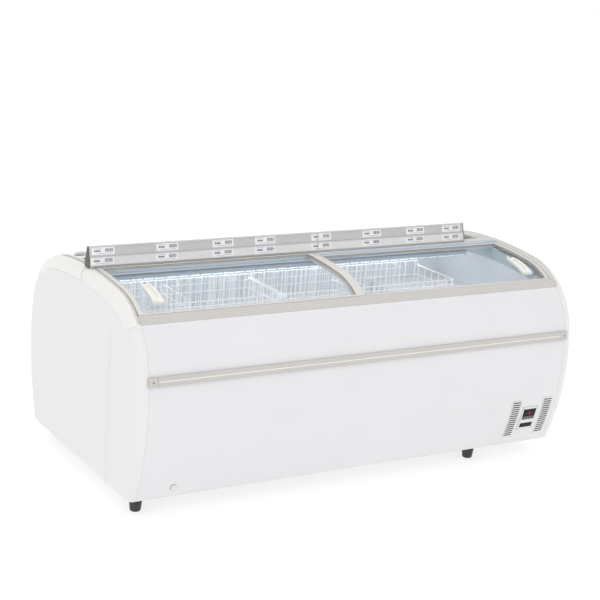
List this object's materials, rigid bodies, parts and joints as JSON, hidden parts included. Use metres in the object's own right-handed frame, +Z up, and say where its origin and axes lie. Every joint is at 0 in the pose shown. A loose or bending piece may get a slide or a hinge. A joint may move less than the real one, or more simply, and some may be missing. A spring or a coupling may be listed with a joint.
{
  "type": "island chest freezer",
  "caption": "Double-sided supermarket island chest freezer with barrel-shaped body, sliding curved glass lids, wire baskets and a centre price rail.",
  "frame": {"origin": "centre of the footprint at floor level, under the levelling feet", "axes": "+X along the cabinet to its right-hand end as a shopper at the front sees it, the front faces -Y, +Z up"},
  "size_m": [2, 1.091, 0.915],
  "materials": {
    "white_enamel": "satin",
    "end_plastic": "satin",
    "arch_plastic": "satin",
    "trim_plastic": "satin",
    "bumper_plastic": "matte",
    "lid_frame": "satin",
    "lid_glass": "polished",
    "handle_plastic": "satin",
    "spine_enamel": "satin",
    "rail_plastic": "matte",
    "rail_cap": "matte",
    "liner_white": "satin",
    "basket_wire": "satin",
    "foam": "matte",
    "led_lens": "gloss",
    "black_plastic": "matte",
    "grille_plastic": "satin",
    "display_black": "gloss",
    "zinc_steel": "satin",
    "fin_aluminium": "satin",
    "black_steel": "satin"
  },
  "bodies": {
    "cabinet": {"base_pan": "zinc_steel", "compressor": "black_steel", "condenser": "fin_aluminium", "control_bezel": "grille_plastic", "control_display": "display_black", "cord_gland": "black_plastic", "drain_plug": "grille_plastic", "fan_shroud": "zinc_steel", "front_bumper": "bumper_plastic", "front_led_strip": "led_lens", "front_left_basket": "basket_wire", "front_left_bumper_cap": "bumper_plastic", "front_left_divider": "basket_wire", "front_left_foot": "black_plastic", "front_panel": "white_enamel", "front_right_basket": "basket_wire", "front_right_bumper_cap": "bumper_plastic", "front_right_divider": "basket_wire", "front_right_foot": "black_plastic", "front_top_trim": "trim_plastic", "inner_liner": "liner_white", "insulation_foam": "foam", "left_end_panel": "end_plastic", "left_front_moulding": "arch_plastic", "left_rail_cap": "rail_cap", "left_rear_moulding": "arch_plastic", "left_vent_grille": "grille_plastic", "light_canopy": "spine_enamel", "price_rail": "rail_plastic", "rear_bumper": "bumper_plastic", "rear_led_strip": "led_lens", "rear_left_basket": "basket_wire", "rear_left_bumper_cap": "bumper_plastic", "rear_left_divider": "basket_wire", "rear_left_foot": "black_plastic", "rear_panel": "white_enamel", "rear_right_basket": "basket_wire", "rear_right_bumper_cap": "bumper_plastic", "rear_right_divider": "basket_wire", "rear_right_foot": "black_plastic", "rear_top_trim": "trim_plastic", "right_end_panel": "end_plastic", "right_front_moulding": "arch_plastic", "right_rail_cap": "rail_cap", "right_rear_moulding": "arch_plastic", "right_vent_grille": "grille_plastic", "spine_beam": "spine_enamel"},
    "front_left_lid": {"front_left_lid_frame": "lid_frame", "front_left_lid_glass": "lid_glass", "front_left_lid_handle": "handle_plastic"},
    "front_right_lid": {"front_right_lid_frame": "lid_frame", "front_right_lid_glass": "lid_glass", "front_right_lid_handle": "handle_plastic"},
    "rear_left_lid": {"rear_left_lid_frame": "lid_frame", "rear_left_lid_glass": "lid_glass", "rear_left_lid_handle": "handle_plastic"},
    "rear_right_lid": {"rear_right_lid_frame": "lid_frame", "rear_right_lid_glass": "lid_glass", "rear_right_lid_handle": "handle_plastic"},
    "fan_rotor": {"fan_blade": "grille_plastic"}
  },
  "joints": [
    {"name": "front_left_lid_slide", "type": "slide", "parent": "cabinet", "child": "front_left_lid", "axis": [1, 0, 0], "range_m": [0, 0.79]},
    {"name": "front_right_lid_slide", "type": "slide", "parent": "cabinet", "child": "front_right_lid", "axis": [1, 0, 0], "range_m": [-0.79, 0]},
    {"name": "rear_left_lid_slide", "type": "slide", "parent": "cabinet", "child": "rear_left_lid", "axis": [1, 0, 0], "range_m": [0, 0.79]},
    {"name": "rear_right_lid_slide", "type": "slide", "parent": "cabinet", "child": "rear_right_lid", "axis": [1, 0, 0], "range_m": [-0.79, 0]},
    {"name": "fan_spin", "type": "hinge", "parent": "cabinet", "child": "fan_rotor", "pos_m": [0.76, -0.3, 0.225], "axis": [0, 1, 0], "continuous": true}
  ]
}
